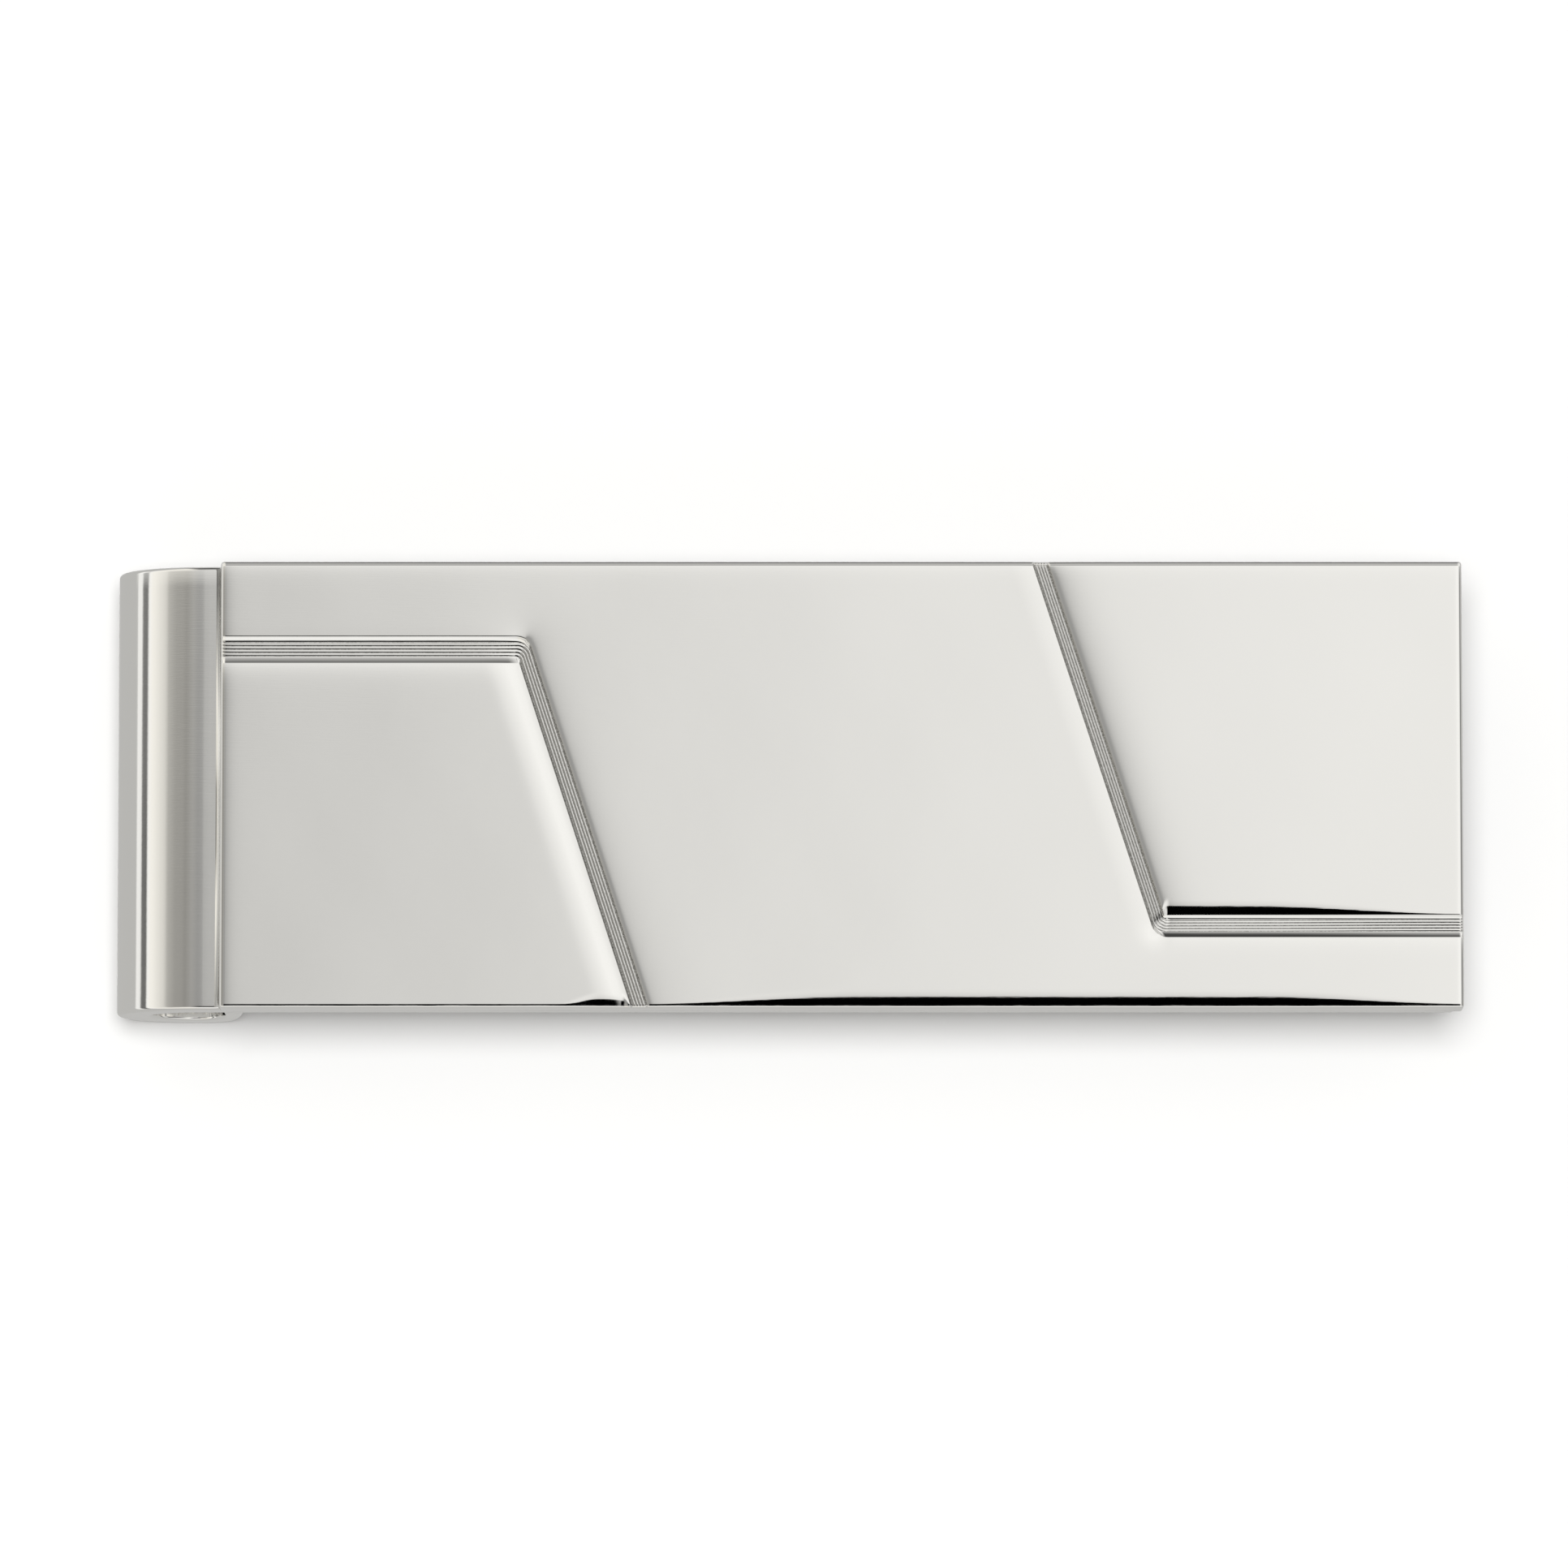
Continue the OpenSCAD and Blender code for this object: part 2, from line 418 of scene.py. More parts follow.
class Borders:
    """The bands' inner and outer lines, split where they turn, for the panels' roll-off towards them."""

    def __init__(self, bands):
        turn = RUN_STEPS + TURN_STEPS // 2
        left, right = bands
        self.left_in = (left[0][: turn + 1], left[0][turn:])
        self.left_out = (left[-1][: turn + 1], left[-1][turn:])
        self.right_in = (right[0][: turn + 1], right[0][turn:])
        self.right_out = (right[-1][: turn + 1], right[-1][turn:])

    def drop(self, points, panel):
        """Drop of one panel: 'left', 'middle' or 'right'."""
        if panel == "left":
            run = distance_to(points, self.left_in[0])
            slant = distance_to(points, self.left_in[1])
            return (
                soft_roll(run, 0.1, 0.38 * MM)
                + swell_roll(slant, 0.18, 1.6 * MM)
            )
        if panel == "right":
            run = distance_to(points, self.right_in[0])
            slant = distance_to(points, self.right_in[1])
            wide = LITTLE_REACH + wear(points[:, 0], *RUN_WEAR)
            return (
                round_roll(run, 0.34, wide)
                + soft_roll(run, 0.03, 0.3 * MM)
                + soft_roll(slant, 0.062, 0.9 * MM)
                + soft_roll(slant, 0.16, 0.06 * MM)
            )
        left_run = distance_to(points, self.left_out[0])
        left_slant = distance_to(points, self.left_out[1])
        right_run = distance_to(points, self.right_out[0])
        right_slant = distance_to(points, self.right_out[1])
        return (
            soft_roll(left_run, 0.1, 0.12 * MM)
            + round_roll(left_run, 0.42, 0.07 * MM)
            + soft_roll(left_slant, 0.032, 0.65 * MM)
            + soft_roll(left_slant, 0.18, 0.06 * MM)
            + soft_roll(right_run, 0.1, 0.38 * MM)
            + round_roll(right_slant, 0.035, 0.9 * MM)
        )


def ripple(points):
    """The slow unevenness that hand polishing leaves on the face."""
    x, y = points[:, 0] / MM, points[:, 1] / MM
    return sum(size * MM * np.sin(kx * x + ky * y + turn) for size, kx, ky, turn in WAVES)


def face_height(points, panel, borders):
    """Height of a panel's face."""
    return PLATE_TOP - FACE_SINK + ripple(points) - borders.drop(points, panel) - edge_drop(points)


def add_panel(sheet, plan, panel, borders):
    """Adds a grid of one panel's face to the sheet."""
    points = plan.reshape(-1, 2)
    sheet.grid(place(plan), face_height(points, panel, borders).reshape(plan.shape[:2]))


def place(plan):
    """From the plate's own plan to the frame."""
    return plan + np.array([PLATE_MID, 0])


def plate_face():
    """The plate's whole face: two bands and the panels between them."""
    sheet = Sheet()
    left_section, right_section = [band_section(*sides) for sides in BAND_SIDES]
    left_band = np.array([band_line(0, s) for s in left_section[0]])
    # The right band is the left one's pattern turned half way round.
    right_band = -np.array([band_line(1, s) for s in right_section[0]])
    borders = Borders((left_band, right_band))
    split = RUN_STEPS + TURN_STEPS // 2
    half_l, half_w = PLATE_HALF_L - EDGE_R, PLATE_HALF_W - EDGE_R

    sides = ((1, left_band, "left", left_section), (-1, right_band, "right", right_section))
    for flip, band, inside, section in sides:
        share, depth, groove_shade = section
        inner_height = face_height(band[0], inside, borders)
        outer_height = face_height(band[-1], "middle", borders)
        height = np.outer(1 - share, inner_height) + np.outer(share, outer_height) - depth[:, None]
        # Painted shade: darker in the hollows between the reeds, darker down the slant's sides, and a
        # little darker across the whole slant.
        groove_shades = np.repeat(groove_shade[:, None], band.shape[1], axis=1)
        side_rows = (share < share[SIDE_STEPS]) | (share > share[-SIDE_STEPS - 1])
        shade_start = split + SHADE_STATIONS
        groove_shades[np.ix_(side_rows, np.arange(shade_start, band.shape[1]))] = SLANT_SIDE_SHADE
        groove_shades[:, shade_start:] = np.maximum(groove_shades[:, shade_start:], SLANT_SHADE)
        sheet.grid(place(band), height, groove_shades)

        inner = band[0]
        corner = np.array([-half_l, -half_w]) * flip
        far = inner[: split + 1]
        right = inner[split:][::-1]
        near = between(corner, right[0], arc_shares(far))
        left = between(corner, far[0], arc_shares(right))
        add_panel(sheet, patch(near, far, left, right), inside, borders)

    outer_left, outer_right = left_band[-1], right_band[-1]
    up = graded(UP_STEPS, UP_CROWD)
    top_left = np.array([outer_left[split][0], half_w])
    low_right = np.array([outer_right[split][0], -half_w])
    left_up = between(outer_left[split], top_left, up)
    right_low = between(low_right, outer_right[split], up)
    left = np.concatenate([outer_left[split:][::-1], left_up[1:]])
    right = np.concatenate([right_low, outer_right[split + 1:]])
    mid = graded(MID_STEPS, MID_CROWD)
    near = between(left[0], right[0], mid)
    far = between(left[-1], right[-1], mid)
    add_panel(sheet, patch(near, far, left, right), "middle", borders)

    near = outer_left[: split + 1]
    far = between((-half_l, half_w), top_left, arc_shares(near))
    add_panel(sheet, patch(near, far, between(near[0], far[0], up), left_up), "middle", borders)

    far = outer_right[: split + 1][::-1]
    near = between(low_right, (half_l, -half_w), arc_shares(far))
    add_panel(sheet, patch(near, far, right_low, between(near[-1], far[-1], up)), "middle", borders)
    return sheet


def plate_rim(sheet):
    """The face's border as (vertex, way it faces) pairs. A corner's vertex comes once for each way."""
    half_l, half_w = PLATE_HALF_L - EDGE_R, PLATE_HALF_W - EDGE_R
    points = sheet.points
    rim = []
    for v in sheet.border():
        x, y = points[v][0] - PLATE_MID, points[v][1]
        facing = []
        if abs(abs(x) - half_l) < 1e-9:
            facing.append(0.0 if x > 0 else math.pi)
        if abs(abs(y) - half_w) < 1e-9:
            facing.append(math.pi / 2 if y > 0 else -math.pi / 2)
        if len(facing) == 1:
            rim.append((v, facing[0]))
        else:
            along, aside = facing
            first, last = (aside, along) if (x > 0) == (y < 0) else (along, aside)
            sweep = (last - first + math.pi) % (2 * math.pi) - math.pi
            rim += [(v, first + sweep * i / (CORNER_STEPS - 1)) for i in range(CORNER_STEPS)]
    return rim


def front_plate():
    """The plate: its face, rounded edges, sides and flat bottom."""
    sheet = plate_face()
    points = [np.array(p) for p in sheet.points]
    faces = list(sheet.faces)
    rim = plate_rim(sheet)

    def add_ring(previous, out, level):
        """Joins a new ring, this far out from the face's border, to the previous one."""
        current = []
        for v, angle in rim:
            x, y, z = points[v]
            current.append(len(points))
            points.append(np.array([x + out * math.cos(angle), y + out * math.sin(angle), level(z)]))
        for k in range(len(rim)):
            n = (k + 1) % len(rim)
            quad = [previous[n], previous[k], current[k], current[n]]
            loop = [v for i, v in enumerate(quad) if v != quad[i - 1]]
            if len(loop) > 2:
                faces.append(loop)
        return current

    last = [v for v, _ in rim]
    for i in range(1, EDGE_STEPS + 1):
        angle = math.pi / 2 * i / EDGE_STEPS
        fall = EDGE_R * (1 - math.cos(angle))
        last = add_ring(last, EDGE_R * math.sin(angle), lambda z, fall=fall: z - fall)
    low = PLATE_BOTTOM + BOTTOM_R
    for share in (0.5, 1.0):
        last = add_ring(last, EDGE_R, lambda z, share=share: z - EDGE_R + (low - z + EDGE_R) * share)
    for i in range(1, BOTTOM_STEPS + 1):
        angle = math.pi / 2 * i / BOTTOM_STEPS
        out = EDGE_R - BOTTOM_R * (1 - math.cos(angle))
        level = PLATE_BOTTOM + BOTTOM_R * (1 - math.sin(angle))
        last = add_ring(last, out, lambda z, level=level: level)
    faces.append(last[::-1])
    obj = new_mesh("front_plate_face", points, faces)
    # Painted shade for the plate's material, one value per vertex; the rounded edges, sides and bottom get
    # none.
    groove_shade = obj.data.attributes.new("groove_shade", "FLOAT", "POINT")
    groove_shade.data.foreach_set("value", sheet.groove_shades + [0.0] * (len(points) - len(sheet.groove_shades)))
    return obj


# ---------------------------------------------------------------- spring strip

def oval(cx, cz, rx, rz, start, end, steps):
    """Points along an oval in the XZ plane, angles in degrees."""
    a = np.radians(np.linspace(start, end, steps + 1))
    return np.stack([cx + rx * np.cos(a), cz + rz * np.sin(a)], axis=1)


def join(*lines):
    """Lines end to end, each starting where the last one ended."""
    return np.concatenate([lines[0]] + [line[1:] for line in lines[1:]])


FOLD_H = front_high.z
PIVOT_Z = pivot.z
LEG_TOP = FOLD_H - CREST_RISE
LEG_BOTTOM = LEG_TOP - FRONT_LEG_T
BACK_TOP = LEG_BOTTOM - LEG_GAP
BACK_BOTTOM = BACK_TOP - BACK_LEG_T
NOSE_X = min(front_low.x, back_low.x)
CREST_X = PLATE_LEFT - CREST_BACK
BELLY_X = PLATE_LEFT - BELLY_BACK
HOLLOW_X = NOSE_X + NOSE_T
FLOOR_Z = min(PIVOT_Z - 0.1 * MM, BACK_BOTTOM - TURN_R)
FRONT_JOIN_X = PLATE_LEFT + FRONT_JOIN
BACK_JOIN_X = PLATE_LEFT + BACK_JOIN
TIP_X = back_high.x
LIP_ANGLE = math.acos((LIP_R - BACK_TOP) / (LIP_R - BACK_LEG_T))
LIP_X = TIP_X - LIP_R * math.sin(LIP_ANGLE)


def crest_fall():
    """From the plate's end back to the crest: up from the leg inside the braze, then nearly level."""
    t = np.linspace(1, 0, 31) ** 0.35
    x = CREST_X + (PLATE_LEFT - CREST_X) * t
    z = FOLD_H + CREST_TILT * t - (FOLD_H + CREST_TILT - LEG_TOP) * t ** 30
    return np.stack([x, z], axis=1)


def fold_outer():
    """The fold's outer line, from the front leg round to the back leg."""
    wall_x = PLATE_LEFT + WALL_OUTER
    return join(
        between((FRONT_JOIN_X, LEG_TOP), (PLATE_LEFT, LEG_TOP), np.linspace(0, 1, 5)),
        crest_fall(),
        oval(CREST_X, PIVOT_Z, CREST_X - NOSE_X, FOLD_H - PIVOT_Z, 90, 180, 36),
        oval(BELLY_X, PIVOT_Z, BELLY_X - NOSE_X, PIVOT_Z, 180, 270, 30),
        oval(BELLY_X, FLOOR_Z, wall_x - BELLY_X, FLOOR_Z, 270, 360, 20),
        oval(wall_x + TURN_R, BACK_BOTTOM - TURN_R, TURN_R, TURN_R, 180, 90, 14),
        between((wall_x + TURN_R, BACK_BOTTOM), (BACK_JOIN_X, BACK_BOTTOM), np.linspace(0, 1, 4)),
    )


def fold_inner():
    """The fold's inner line, with a point for each of the outer line's."""
    wall_x = PLATE_LEFT + WALL_INNER
    turn_z = BACK_TOP - TURN_R
    return join(
        between((FRONT_JOIN_X, LEG_BOTTOM), (BELLY_X, LEG_BOTTOM), np.linspace(0, 1, 35)),
        oval(BELLY_X, PIVOT_Z, BELLY_X - HOLLOW_X, LEG_BOTTOM - PIVOT_Z, 90, 180, 36),
        oval(BELLY_X, PIVOT_Z, BELLY_X - HOLLOW_X, PIVOT_Z - BELLY_T, 180, 270, 30),
        oval(BELLY_X, FLOOR_Z, wall_x - BELLY_X, FLOOR_Z - BELLY_T, 270, 360, 20),
        between((wall_x, FLOOR_Z), (wall_x, turn_z), np.linspace(0, 1, 5)),
        oval(wall_x + TURN_R, turn_z, TURN_R, TURN_R, 180, 90, 10),
        between((wall_x + TURN_R, BACK_TOP), (BACK_JOIN_X, BACK_TOP), np.linspace(0, 1, 4)),
    )


def back_half_width(x):
    """Half width of the back leg: a smooth shoulder behind the fold, a straight taper, round corners."""
    start, end = PLATE_LEFT + SHOULDER[0], PLATE_LEFT + SHOULDER[1]
    if x < end:
        t = min(max((x - start) / (end - start), 0), 1)
        return STRIP_HALF_W - (STRIP_HALF_W - BACK_LEG_HALF_W) * (1 - math.cos(math.pi * t)) / 2
    corner_x = TIP_X - TIP_CORNER_R
    if x < corner_x:
        return BACK_LEG_HALF_W + (TIP_HALF_W - BACK_LEG_HALF_W) * (x - end) / (corner_x - end)
    reach = min((x - corner_x) / TIP_CORNER_R, 1)
    return TIP_HALF_W - TIP_CORNER_R * (1 - math.sqrt(1 - reach * reach))


def strip_mesh(name, outer, inner, half_widths):
    """A strip swept along paired outer and inner points, with its four long edges rounded over.

    half_widths holds each pair's half width at its outer and at its inner point."""
    if not len(outer) == len(inner) == len(half_widths):
        raise ValueError(f"{name}: the outer and inner lines differ in length")
    across = np.linspace(-1, 1, STRIP_FACE_STEPS + 1)
    turn = np.linspace(0, math.pi / 2, STRIP_EDGE_STEPS + 1)
    points, faces = [], []
    for o, i, (half_o, half_i) in zip(outer, inner, half_widths):
        thick = np.linalg.norm(o - i)
        inward = (i - o) / thick
        r_o = min(STRIP_EDGE_R, thick * 0.45)
        r_i = min(STRIP_INNER_R, thick * 0.45)
        # One side from the outer face to the inner: how far in from the side, and how deep.
        # The two points inside the flat keep its shading flat.
        flat = thick - r_o - r_i
        side = [(r_o * (1 - math.sin(a)), r_o * (1 - math.cos(a))) for a in turn]
        side += [(0.0, r_o + 0.2 * flat), (0.0, r_o + 0.8 * flat)]
        side += [(r_i * (1 - math.cos(a)), thick - r_i + r_i * math.sin(a)) for a in turn]

        side = [(half_o + (half_i - half_o) * deep / thick - inset, deep) for inset, deep in side]
        loop = [(t * (half_o - r_o), 0.0) for t in across]
        loop += side[1:]
        loop += [(-t * (half_i - r_i), thick) for t in across[1:]]
        loop += [(-y, deep) for y, deep in side[-2:0:-1]]
        for y, deep in loop:
            p = o + inward * deep
            points.append((p[0], y, p[1]))
    n = len(loop)
    for i in range(len(outer) - 1):
        for k in range(n):
            m = (k + 1) % n
            faces.append([i * n + k, i * n + m, (i + 1) * n + m, (i + 1) * n + k])
    faces.append(list(range(n))[::-1])
    faces.append([(len(outer) - 1) * n + k for k in range(n)])
    obj = new_mesh(name, points, faces)
    # The end caps stay flat against the strip's neighbours.
    for poly in obj.data.polygons[-2:]:
        poly.use_smooth = False
    return obj


def spring_fold():
    """The whole fold, from under the plate's left end round to the back leg."""
    outer, inner = fold_outer(), fold_inner()
    halves = []
    for o, i in zip(outer, inner):
        if o[1] < LEG_BOTTOM and o[0] > PLATE_LEFT + BACK_SHARE_LEFT:
            halves.append((back_half_width(o[0]), back_half_width(i[0])))
        else:
            halves.append((STRIP_HALF_W, STRIP_HALF_W))
    return strip_mesh("spring_fold", outer, inner, halves)


def spring_front_leg():
    """The flat leg under the plate, with its far end rounded over."""
    r = FRONT_END_R
    stations = np.linspace(FRONT_JOIN_X, front_high.x - r, 30)
    outer = [np.array([x, LEG_TOP]) for x in stations]
    inner = [np.array([x, LEG_BOTTOM]) for x in stations]
    halves = [(STRIP_HALF_W, STRIP_HALF_W)] * len(outer)
    for k in range(1, END_STEPS + 1):
        a = math.pi / 2 * k / END_STEPS
        x = front_high.x - r + r * math.sin(a)
        inset = r * (1 - math.cos(a))
        outer.append(np.array([x, LEG_TOP - inset * 0.25]))
        inner.append(np.array([x, LEG_BOTTOM + inset]))
        halves.append((STRIP_HALF_W - inset, STRIP_HALF_W - inset))
    return strip_mesh("spring_front_leg_under_plate", outer, inner, halves)


def spring_back_leg():
    """The free leg: straight, then the lip, with its end rounded over."""
    r = BACK_END_R
    outer, inner, halves = [], [], []

    def station(x, inset=0.0):
        """A cross-section at x along the straight leg or the lip, drawn in all round by inset."""
        if x <= LIP_X:
            top, low = np.array([x, BACK_TOP]), np.array([x, BACK_BOTTOM])
        else:
            a = math.asin((x - LIP_X) / LIP_R)
            axis = np.array([math.sin(a), math.cos(a)])
            centre = np.array([LIP_X, BACK_TOP - LIP_R])
            top, low = centre + LIP_R * axis, centre + (LIP_R - BACK_LEG_T) * axis
        down = (low - top) / np.linalg.norm(low - top)
        outer.append(low - down * inset)
        inner.append(top + down * inset)
        half = back_half_width(x) - inset
        halves.append((half, half))

    end_x = TIP_X - r
    for x in np.linspace(BACK_JOIN_X, PLATE_LEFT + SHOULDER[1], 6):
        station(x)
    for x in np.linspace(PLATE_LEFT + SHOULDER[1], TIP_X - TIP_CORNER_R, 60)[1:]:
        station(x)
    for k in range(1, 17):
        station(TIP_X - TIP_CORNER_R + (TIP_CORNER_R - r) * math.sin(math.pi / 2 * k / 16))
    for k in range(1, END_STEPS + 1):
        a = math.pi / 2 * k / END_STEPS
        station(end_x + r * math.sin(a) * 0.98, r * (1 - math.cos(a)))
    return strip_mesh("spring_back_leg_and_lip", outer, inner, halves)


def braze():
    """The film between the plate and the leg, and the hollow fillet at the plate's end."""
    r = BRAZE_R
    foot = FOLD_H + BRAZE_LIFT
    right = front_high.x - BRAZE_INSET
    profile = [
        (right, PLATE_BOTTOM),
        (PLATE_LEFT + BRAZE_OVERLAP, PLATE_BOTTOM),
        (PLATE_LEFT + BRAZE_OVERLAP, foot + r),
        *oval(PLATE_LEFT - r, foot + r, r, r, 0, -88, BRAZE_STEPS),
        (PLATE_LEFT - r, foot - BRAZE_SINK),
        (PLATE_LEFT - BRAZE_HEEL, foot - BRAZE_SINK),
        (PLATE_LEFT - BRAZE_OVERLAP, LEG_TOP),
        (right, LEG_TOP),
    ]
    n = len(profile)
    half = STRIP_HALF_W - BRAZE_INSET
    points = [(x, y, z) for y in (-half, half) for x, z in profile]
    faces = [[k, (k + 1) % n, n + (k + 1) % n, n + k] for k in range(n)]
    faces += [list(range(n))[::-1], list(range(n, 2 * n))]
    return new_mesh("braze_fillet", points, faces)


# ---------------------------------------------------------------- materials

# Each metal's name, colour, roughness, depth of the polishing marks and depth of the ripple.
PLATE_METAL = ("plated_plate", (0.94, 0.935, 0.92), 0.05, 0.0006 * MM, 0.0015 * MM)
SPRING_METAL = ("plated_spring", (0.93, 0.925, 0.91), 0.07, 0.0008 * MM, 0.002 * MM)
BRAZE_METAL = ("braze", (0.88, 0.87, 0.84), 0.16, 0.001 * MM, 0.003 * MM)
# Sizes of the noises, as features per metre.
CLOUD_SCALE = 140.0
HAIR_SCALE = (900.0, 26000.0, 9000.0)
HAIR_TURN = 0.12
SHADE_MOTTLE_SCALE = 14000.0
RIPPLE_SCALE = 320.0
# How much darker the clouds are, and the range of roughness across them.
CLOUD_DARKER = 0.97
CLOUD_GLOSS = (0.75, 1.3)
# The painted shade's colour in the hollows between the reeds, and the least and most of it across the
# mottling noise.
GROOVE_SHADE_COLOUR = (0.12, 0.115, 0.1, 1)
GROOVE_SHADE_SHARE = (0.5, 0.95)
TABLE_LEVEL = 0.52


def linear(level):
    """sRGB level, 0 to 1, as linear light."""
    return level / 12.92 if level <= 0.04045 else ((level + 0.055) / 1.055) ** 2.4


def node(tree, kind, **settings):
    """A new node with these settings."""
    new = tree.nodes.new(kind)
    for key, value in settings.items():
        setattr(new, key, value)
    return new


def noise(tree, scale, detail, vector):
    """Noise over this vector. Returns its factor's socket."""
    texture = node(tree, "ShaderNodeTexNoise")
    texture.inputs["Scale"].default_value = scale
    texture.inputs["Detail"].default_value = detail
    tree.links.new(vector, texture.inputs["Vector"])
    return texture.outputs["Fac"]


def spread(tree, value, low, high, to_low, to_high):
    """The value, with low to high spread over to_low to to_high."""
    scale = node(tree, "ShaderNodeMapRange")
    scale.inputs["From Min"].default_value = low
    scale.inputs["From Max"].default_value = high
    scale.inputs["To Min"].default_value = to_low
    scale.inputs["To Max"].default_value = to_high
    tree.links.new(value, scale.inputs["Value"])
    return scale.outputs["Result"]


def relief(tree, height, distance):
    """A bump node for this height."""
    new = node(tree, "ShaderNodeBump")
    new.inputs["Strength"].default_value = 1.0
    new.inputs["Distance"].default_value = distance
    tree.links.new(height, new.inputs["Height"])
    return new


def polished_metal(name, colour, rough, grain, ripple_depth):
    """Mirror-polished plating: cloudy variation of gloss, hairline polishing marks and a slow ripple."""
    mat = bpy.data.materials.new(name)
    mat.use_nodes = True
    tree = mat.node_tree
    tree.nodes.clear()
    link = tree.links.new
    out = node(tree, "ShaderNodeOutputMaterial")
    shader = node(tree, "ShaderNodeBsdfPrincipled")
    shader.inputs["Metallic"].default_value = 1.0
    where = node(tree, "ShaderNodeTexCoord").outputs["Object"]
    cloud = noise(tree, CLOUD_SCALE, 5.0, where)

    stretch = node(tree, "ShaderNodeMapping")
    stretch.inputs["Scale"].default_value = HAIR_SCALE
    stretch.inputs["Rotation"].default_value = (0.0, 0.0, HAIR_TURN)
    link(where, stretch.inputs["Vector"])
    hair = noise(tree, 1.0, 3.0, stretch.outputs["Vector"])

    tone = node(tree, "ShaderNodeMix", data_type="RGBA")
    tone.inputs["A"].default_value = (*[c * CLOUD_DARKER for c in colour], 1)
    tone.inputs["B"].default_value = (*colour, 1)
    link(cloud, tone.inputs["Factor"])

    # Painted shade: the bottoms of the hollows between the reeds, and the slant, are mixed towards a dark
    # colour, mottled by a fine noise. Only the plate's mesh has the attribute that holds this shade, so
    # the other metals get none of it.
    groove_shade = node(tree, "ShaderNodeAttribute", attribute_name="groove_shade")
    shade_mottle = noise(tree, SHADE_MOTTLE_SCALE, 2.0, where)
    shade_amount = node(tree, "ShaderNodeMath", operation="MULTIPLY", use_clamp=True)
    link(groove_shade.outputs["Fac"], shade_amount.inputs[0])
    link(spread(tree, shade_mottle, 0.35, 0.65, *GROOVE_SHADE_SHARE), shade_amount.inputs[1])
    shaded_tone = node(tree, "ShaderNodeMix", data_type="RGBA")
    shaded_tone.inputs["B"].default_value = GROOVE_SHADE_COLOUR
    link(shade_amount.outputs["Value"], shaded_tone.inputs["Factor"])
    link(tone.outputs["Result"], shaded_tone.inputs["A"])
    link(shaded_tone.outputs["Result"], shader.inputs["Base Color"])

    gloss = spread(tree, cloud, 0.3, 0.75, rough * CLOUD_GLOSS[0], rough * CLOUD_GLOSS[1])
    link(gloss, shader.inputs["Roughness"])

    ripples = relief(tree, noise(tree, RIPPLE_SCALE, 2.0, where), ripple_depth)
    hairs = relief(tree, hair, grain)
    link(ripples.outputs["Normal"], hairs.inputs["Normal"])
    link(hairs.outputs["Normal"], shader.inputs["Normal"])
    link(shader.outputs["BSDF"], out.inputs["Surface"])
    return mat


def paper(name, level):
    """Matt white paper for the table."""
    mat = bpy.data.materials.new(name)
    mat.use_nodes = True
    tree = mat.node_tree
    shader = tree.nodes["Principled BSDF"]
    shader.inputs["Roughness"].default_value = 0.9
    shader.inputs["Specular IOR Level"].default_value = 0.1
    shader.inputs["Base Color"].default_value = (level, level, level, 1)
    return mat


# ---------------------------------------------------------------- studio

VIEW_TILT = math.radians(7)
VIEW_DISTANCE = 0.55
FRAME_WIDTH = 66.42 * MM

AIM_X = -0.18 * MM
CLIP_START = 0.01

# The studio seen by the polished metal, as sRGB levels. Across: angle from straight up, towards +X.
# The levels are tones read off the fold in the photograph, where it mirrors the studio, then adjusted.
ACROSS = [
    (-90, 182), (-87, 184), (-85.3, 238), (-78, 236), (-75.5, 110), (-68, 100), (-66, 246), (-58, 241),
    (-46, 217), (-43, 208), (-39.5, 174), (-31, 153), (-24, 150), (-20.5, 142), (-14, 158), (-8.5, 149),
    (-5.2, 152), (-4.2, 170), (-2.6, 198), (-1, 213), (0.7, 226), (3.2, 234), (8, 245), (13, 242),
    (20, 215), (28, 160), (37, 118), (64, 100), (70, 190), (80, 210), (86, 100), (90, 110),
]
# Along: how far the direction points away from the camera's side, -1 to 1, as a share of what is across.
# A black card leans over on the camera's side, and the studio darkens towards its far end. Both are narrow
# across, as ALONG_WIDTH says.
ALONG = [
    (-1.0, 1.1), (-0.93, 0.9), (-0.8, 1.0), (-0.66, 1.0), (-0.6, 0.85), (-0.57, 0.0),
    (-0.245, 0.0), (-0.23, 0.8), (-0.15, 0.9), (-0.05, 0.97), (0.03, 1.0), (0.36, 1.0), (0.45, 0.85),
    (0.6, 0.6), (0.75, 0.38), (0.85, 0.18), (0.92, 0.06), (1.0, 0.08),
]
ALONG_WIDTH = [(-0.26, 0.0), (-0.13, 1.0), (0.13, 1.0), (0.26, 0.0)]
# Away from the camera's side the studio also turns whiter.
WHITER = [(-1.0, 0.0), (0.12, 0.0), (0.2, 0.26), (0.3, 0.56), (0.4, 0.7), (1.0, 0.7)]
WHITE = (0.93, 0.93, 0.93, 1)
# Past these limits along, the studio is only a soft dome: its levels from the horizon up, then its share.
DOME = [(0.0, 150), (0.12, 175), (0.3, 222), (0.5, 246), (0.75, 236), (1.0, 225)]
DOME_SHARE = [(-1.0, 1.0), (-0.72, 1.0), (-0.4, 0.0), (0.5, 0.0), (0.75, 1.0), (1.0, 1.0)]
# How warm it is across, and the tints.
WARMTH = [(-90, 0.0), (-66, 0.0), (-60, 1.0), (-20, 1.0), (-8, 0.0), (90, 0.0)]
WARM_TINT = (1.0, 0.975, 0.91)
STUDIO_TINT = (1.0, 0.992, 0.965)
# What the metal returns of the light, and room above white in the ramps, which end at 1.
METAL_LEVEL = 0.93
HEADROOM = 1.6
# The floor as the metal mirrors it, as an sRGB level, and the pale background past the table.
FLOOR_MIRRORED = 184
CARD_LIFT = 0.01 * MM
PALE = (0.9, 0.9, 0.9, 1)
LAMP_SIZE = 1.32
LAMP_HEIGHT = 3.0
LAMP_POWER = 130
TABLE_HALF = 8.0


